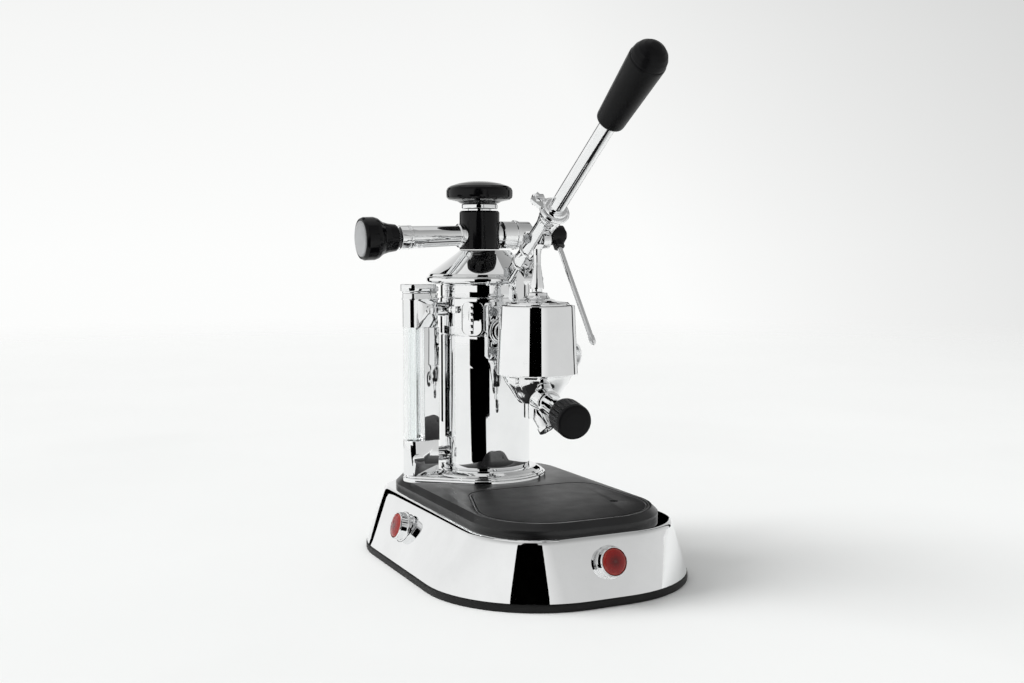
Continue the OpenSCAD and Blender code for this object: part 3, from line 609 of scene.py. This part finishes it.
finish(fluted_knob(),
"steam_knob_body", "steam_knob", "black_gloss", replaces="steam_knob", angle=40)
turned("steam_knob_face", [(0, 107.3), (14.7, 107.3), (14.7, 108.7, 0.5), (14.0, 109.6, 0.6),
                           (12.6, 109.5, 0.4),
                           (0, 109.4)], LEFT, "steam_knob", "grey_disc", "steam_knob_disc")
turned("outlet_body", [(2, 8), (9, 8), (9, 14.4), (11.2, 14.4, 0.5), (11.6, 15, 0.4),
                       (11.6, 26.4), (12.5, 26.6, 0.4),
                       (12.5, 29, 0.5), (11.6, 29.2), (11.6, 40, 0.8), (7, 44.2, 0.4),
                       (5.4, 44.4), (5.4, 59.8, 0.4),
                       (3.5, 60), (3.5, 71.9),
                       (2, 71.9)], RIGHT, "machine", "chrome", "outlet_valve")
soft_copy("wand_nut", "steam_wand", 0.8)
turned("wand_pipe", [(1.3, 5), (2.25, 5), (2.25, 105),
                     (1.3, 105)], WAND, "steam_wand", "chrome", "steam_wand", 40)
turned("wand_nozzle", [(0.7, 105.1), (2.5, 105.1, 0.2), (2.7, 105.4, 0.2), (2.7, 110.5, 0.6),
                       (1.5, 113.1, 0.4),
                       (0.7, 113.2)], WAND, "steam_wand", "chrome", "wand_tip", 64)

# ---------- sight glass ----------

for node, bevel in (("gauge_upper_block", 0.8), ("gauge_lower_block", 0.8), ("gauge_cap", 0.9),
                    ("gauge_guard", 0.35), ("gauge_strap", 0.3), ("badge", 0.2)):
    soft_copy(node, "machine", bevel)

# ---------- group ----------

soft_copy("group_saddle", "machine", 1.4)
soft_copy("saddle_bolts", "machine", 0.3)
soft_copy("group_head", "machine", 0.8)
turned("group_top", [(5.7, 205.1), (25, 205.1, 0.3), (25, 206.8, 0.8), (23.6, 208, 1.5),
                     (15, 209.4, 3),
                     (10, 211, 2), (8.4, 213, 1), (8, 215.2, 0.6), (5.7, 215.2)],
       GROUP, "machine", "chrome", "group_cap")
bell = lathe([(29.8, 152.2), (31.2, 152.2, 0.3), (31.5, 153.2, 0.5), (31.35, 155),
(29.1, 204.6, 0.4),
              (28.9, 205.4, 0.4), (28.3, 205.6, 0.4), (27.7, 205.2)], GROUP, 200)
bell = solid(bell, cuts=[block(-14, -13, 167.8, 14, 17, 196.2)])
LUG = at(26, -38, 166) @ rot("Z", 24) @ rot("X", 90)
lug = lathe([(0, 1.6), (7.8, 1.6), (8.2, 2.8, 0.4), (8.4, 3.5, 0.3), (10.2, 3.5, 0.6),
(10.5, 2.6, 0.4),
             (10.5, -2.8, 0.5), (10, -3.5, 0.4), (0, -3.5)], LUG)
lug = solid(lug, cuts=[rod(29.9, 100, 260, GROUP)])
finish(join(bell, lug), "group_bell_shell", "machine", "chrome", replaces="group_bell", angle=36)
soft_copy("piston_rod", "piston", 0.5)

# ---------- lever ----------

soft_copy("lever_fork", "lever", 0.5)
soft_copy("lever_pins", "lever", 0.4)
turned("lever_arm", [(0, 70.2), (6.1, 70.2), (6.1, 189.2), (4, 189.2), (4, 228.1), (0, 228.1)],
       LEVER, "lever", "chrome", "lever_rod")
turned("lever_handle", [(0, 189.3), (6.12, 189.3), (6.12, 181.4), (9.2, 181.4, 0.4),
                        (10.1, 181.9, 0.6),
                        (10.4, 183.2, 0.8), (13.2, 238.6, 0.6), (13.15, 240.2, 0.6),
                        (12.7, 240.6, 0.4),
                        (12.7, 242, 1), (12.1, 245, 2), (10.4, 248.4, 2), (7.6, 251.1, 2),
                        (4, 252.8, 2), (0, 253.3)],
       LEVER, "lever", "black_grip", "lever_grip")

# ---------- filter holder ----------

soft_copy("filter_holder", "filter_holder", 0.7)
soft_copy("spout", "filter_holder", 0.6)
turned("handle_neck", [(0, 24.4), (4.95, 24.4), (4.95, 28.1), (8.8, 28.1, 0.3), (9.2, 28.8, 0.5),
                       (9.2, 30.4, 0.6),
                       (7.7, 31.2, 0.6), (7.6, 56, 2), (10.2, 60.4, 1), (10.8, 61.2, 0.4),
                       (10.8, 63, 0.5),
                       (5, 63.4), (5, 77),
                       (0, 77)], HANDLE, "filter_holder", "chrome", "handle_tube")


def grooved_ring(r, z, depth, grooves=24, points=288):
    """Round outline with shallow grooves cut to a depth."""
    ring = []
    for k in range(points):
        a = 2 * math.pi * k / points
        reach = r - depth * max(0, math.cos(grooves * a)) ** 3
        ring.append((reach * math.cos(a), reach * math.sin(a), z))
    return ring


def ribbed_grip():
    """Short grip with long shallow grooves and a smooth slightly domed end."""
    grip_r, groove = 13, 0.8
    profile = soften([(5.02, 77.3), (5.02, 63.6), (11.6, 63.6, 0.6), (12.6, 64.6, 0.8),
                      (13, 67, 1.5), (13, 83.4, 1),
                      (12.3, 85.4, 1.2), (11, 86.2, 1.2), (7, 87, 3), (0.01, 87.4)], 6)
    loops = []
    for r, z in profile:
        loops.append(grooved_ring(r, z, groove if 66.5 < z < 82.8 and r > 12 else 0.0))
    # the long grooved stretch gets three more rings
    rings = []
    for a, b in zip(loops, loops[1:]):
        rings.append(a)
        low, high = a[0][2], b[0][2]
        if low < 70 and high > 80:
            rings += [grooved_ring(grip_r, low + (high - low) * t, groove) for t in (0.04, 0.5, 0.96)]
    rings.append(loops[-1])
    return skin(rings, HANDLE)


finish(ribbed_grip(),
"handle_knob", "filter_holder", "black_grip", replaces="handle_grip", angle=40)

# the nodes that keep their CAD shape get their finish here
for name, obj in nodes.items():
    obj.data.materials.clear()
    obj.data.materials.append(MAT[slot_of[name]])

# ---------- stage and light ----------

def around(az, dist, z):
    """A point at an azimuth measured like the camera's, 0 in front of the machine."""
    a = math.radians(az)
    return (math.sin(a) * dist, -math.cos(a) * dist, z)


def floor():
    """Pale matt floor that fades into the background."""
    m = Nodes("floor")
    m.set(Roughness=0.8, Specular_IOR_Level=0.15)
    pale, paler = (0.87, 0.878, 0.873), (0.89, 0.898, 0.893)
    m.link(m.ramp(m.noise(3, 3), [(0.3, pale), (0.7, paler)]),
           m.bsdf.inputs["Base Color"])
    tc = m.add("ShaderNodeTexCoord")
    ln = m.add("ShaderNodeVectorMath", operation="LENGTH")
    m.link(tc.outputs["Object"], ln.inputs[0])
    fade = m.map(ln.outputs["Value"], 0.7, 3.4, 0.0, 1.0)
    tr = m.add("ShaderNodeBsdfTransparent")
    mix = m.add("ShaderNodeMixShader")
    m.link(fade, mix.inputs[0])
    m.link(m.bsdf.outputs[0], mix.inputs[1])
    m.link(tr.outputs[0], mix.inputs[2])
    m.link(mix.outputs[0], m.out.inputs[0])
    bm = bmesh.new()
    bmesh.ops.create_circle(bm, cap_ends=True, radius=3.8, segments=96)
    me = bpy.data.meshes.new("floor")
    bm.to_mesh(me)
    bm.free()
    me.materials.append(m.mat)
    link("floor", me)


floor()

black = Nodes("flag_black")
black.set(Base_Color=(0, 0, 0, 1), Roughness=1.0, Specular_IOR_Level=0.0)


def reflected_only(name, me, place=(0, 0, 0), turn=None):
    """Adds a black sheet that is seen only in the reflections."""
    me.materials.append(black.mat)
    o = link(name, me)
    o.location = place
    if turn:
        o.rotation_mode = "QUATERNION"
        o.rotation_quaternion = turn
    o.visible_camera = o.visible_shadow = o.visible_diffuse = o.visible_transmission = False


def flag(name, az, half, dist, z0, z1):
    """Upright flag that spans half an angle each side of az."""
    w, h = dist * math.tan(math.radians(half)), (z1 - z0) / 2
    me = bpy.data.meshes.new(name)
    me.from_pydata([(-w, -h, 0), (w, -h, 0), (w, h, 0), (-w, h, 0)], [], [(0, 1, 2, 3)])
    turn = (-Vector(around(az, 1, 0))).to_track_quat("Z", "Y")
    reflected_only(name, me, around(az, dist, (z0 + z1) / 2), turn)


def runner(name, az, half, near, far, height=0.003, steps=8):
    """Strip of a ring lying just over the floor, which spans half an angle each side of az."""
    angles = [az + k * half / steps for k in range(-steps, steps + 1)]
    pts = [around(a, near, height) for a in angles] + [around(a, far, height) for a in angles[::-1]]
    me = bpy.data.meshes.new(name)
    me.from_pydata(pts, [], [tuple(range(len(pts)))])
    reflected_only(name, me)


# they make the dark bands on the boiler, the bell and the base
runner("flag_floor", -43.5, 20.5, 0.25, 1.5)
for name, *span in (
        ("flag_low", -43.5, 20.5, 1.5, 0.0, 0.145),
        ("flag_mid", -29.5, 16.5, 0.75, 0.0, 0.36),
        ("flag_high", -29.9, 12.2, 0.83, 0.36, 1.3),
        ("flag_right", 103, 4, 0.8, 0.0, 1.2),
        ("flag_back", 137, 6, 0.8, 0.0, 1.2),
        ("flag_left", -165, 7, 0.8, 0.0, 1.2)):
    flag(name, *span)


def studio():
    """Pale surround: brightest at the horizon, greyer overhead and to the far right."""
    w = bpy.data.worlds.new("studio")
    bpy.context.scene.world = w
    w.use_nodes = True
    t = w.node_tree
    back = t.nodes["Background"]
    tc = t.nodes.new("ShaderNodeTexCoord")
    xyz = t.nodes.new("ShaderNodeSeparateXYZ")
    t.links.new(tc.outputs["Generated"], xyz.inputs[0])
    up = t.nodes.new("ShaderNodeMapRange")
    for i, v in zip((1, 2, 3, 4), (-1.0, 1.0, 0.0, 1.0)):
        up.inputs[i].default_value = v
    t.links.new(xyz.outputs["Z"], up.inputs[0])
    ramp = t.nodes.new("ShaderNodeValToRGB")
    # from straight down, 0, over the horizon, 0.5, to straight up, 1
    stops = [(0.0, 0.96), (0.5, 0.985), (0.58, 0.93), (0.66, 0.84), (0.8, 0.66), (1.0, 0.42)]
    e = ramp.color_ramp.elements
    while len(e) < len(stops):
        e.new(0.5)
    for el, (pos, v) in zip(e, stops):
        el.position = pos
        el.color = (v * 0.995, v, v * 0.993, 1)
    t.links.new(up.outputs[0], ramp.inputs[0])
    side = t.nodes.new("ShaderNodeVectorMath")
    side.operation = "DOT_PRODUCT"
    side.inputs[1].default_value = (0.8, -0.38, 0.45)
    t.links.new(tc.outputs["Generated"], side.inputs[0])
    fall = t.nodes.new("ShaderNodeMapRange")
    for i, v in zip((1, 2, 3, 4), (0.1, 0.5, 1.0, 0.7)):
        fall.inputs[i].default_value = v
    t.links.new(side.outputs["Value"], fall.inputs[0])
    t.links.new(ramp.outputs[0], back.inputs[0])
    t.links.new(fall.outputs[0], back.inputs[1])


studio()


def lamp(name, data, place, aim):
    """Links a lamp, pointed so that its back is towards aim."""
    o = bpy.data.objects.new(name, data)
    bpy.context.scene.collection.objects.link(o)
    o.location = place
    o.rotation_mode = "QUATERNION"
    o.rotation_quaternion = aim.to_track_quat("Z", "Y")
    return o


# soft key from the left, kept out of the chrome
KEY_STRENGTH, KEY_SOFTNESS = 2.4, math.radians(38)
sun = bpy.data.lights.new("key_left", "SUN")
sun.energy, sun.angle = KEY_STRENGTH, KEY_SOFTNESS
lamp("key_left", sun, (0, 0, 0), Vector(around(-121, 1, 0.85))).visible_glossy = False

TOP_AT, TOP_SIZE, TOP_POWER = (0, 0.3, 2.1), 1.6, 3
top = bpy.data.lights.new("top", "AREA")
top.shape = "RECTANGLE"
top.size = top.size_y = TOP_SIZE
top.energy = TOP_POWER
lamp("top", top, TOP_AT, Vector(TOP_AT))
